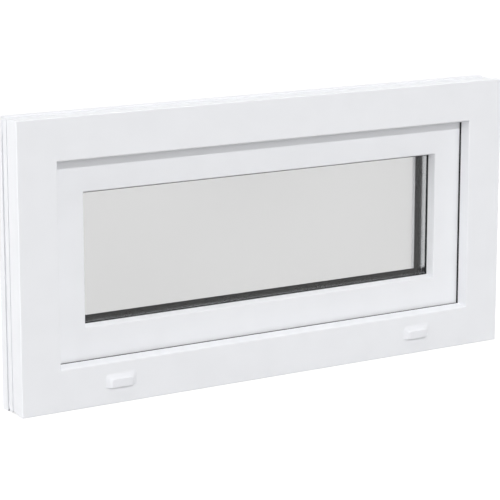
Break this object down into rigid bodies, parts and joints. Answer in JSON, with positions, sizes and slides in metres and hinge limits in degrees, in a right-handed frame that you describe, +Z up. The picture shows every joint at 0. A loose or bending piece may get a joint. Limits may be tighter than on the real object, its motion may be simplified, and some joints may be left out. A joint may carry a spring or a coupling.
{
  "type": "basement window",
  "caption": "Low, wide double-glazed plastic basement window: mitred hollow frame, inward bottom-hung sash, glazing beads, seals, drain caps, handle and hinges.",
  "frame": {"origin": "middle of the rear strip under the sill that the window stands on", "axes": "+X along the width, to the right seen from outdoors; +Y from outdoors to indoors; +Z up"},
  "size_m": [0.8, 0.1199, 0.4],
  "materials": {
    "white_upvc": "smooth white extruded uPVC, satin gloss",
    "white_moulding": "moulded white plastic, satin",
    "black_gasket": "black EPDM rubber, matt",
    "clear_glass": "clear float glass",
    "spacer_aluminium": "mill-finish aluminium spacer bar",
    "edge_sealant": "black sealant",
    "handle_white": "white powder-coated handle",
    "hinge_white": "white painted hinge"
  },
  "bodies": {
    "root": {"bead_bottom": "white_upvc", "bead_gasket": "black_gasket", "bead_left": "white_upvc", "bead_right": "white_upvc", "bead_top": "white_upvc", "drain_cap_left": "white_moulding", "drain_cap_right": "white_moulding", "edge_seal": "edge_sealant", "frame_head": "white_upvc", "frame_jamb_left": "white_upvc", "frame_jamb_right": "white_upvc", "frame_sill": "white_upvc", "handle_lever": "handle_white", "handle_rosette": "handle_white", "hinge_left_frame_leaf": "hinge_white", "hinge_left_sash_leaf": "hinge_white", "hinge_right_frame_leaf": "hinge_white", "hinge_right_sash_leaf": "hinge_white", "inner_pane": "clear_glass", "outer_glazing_gasket": "black_gasket", "outer_pane": "clear_glass", "overlap_gasket": "black_gasket", "sash_bottom_rail": "white_upvc", "sash_stile_left": "white_upvc", "sash_stile_right": "white_upvc", "sash_top_rail": "white_upvc", "spacer_bar": "spacer_aluminium", "stop_gasket": "black_gasket"}
  },
  "joints": []
}
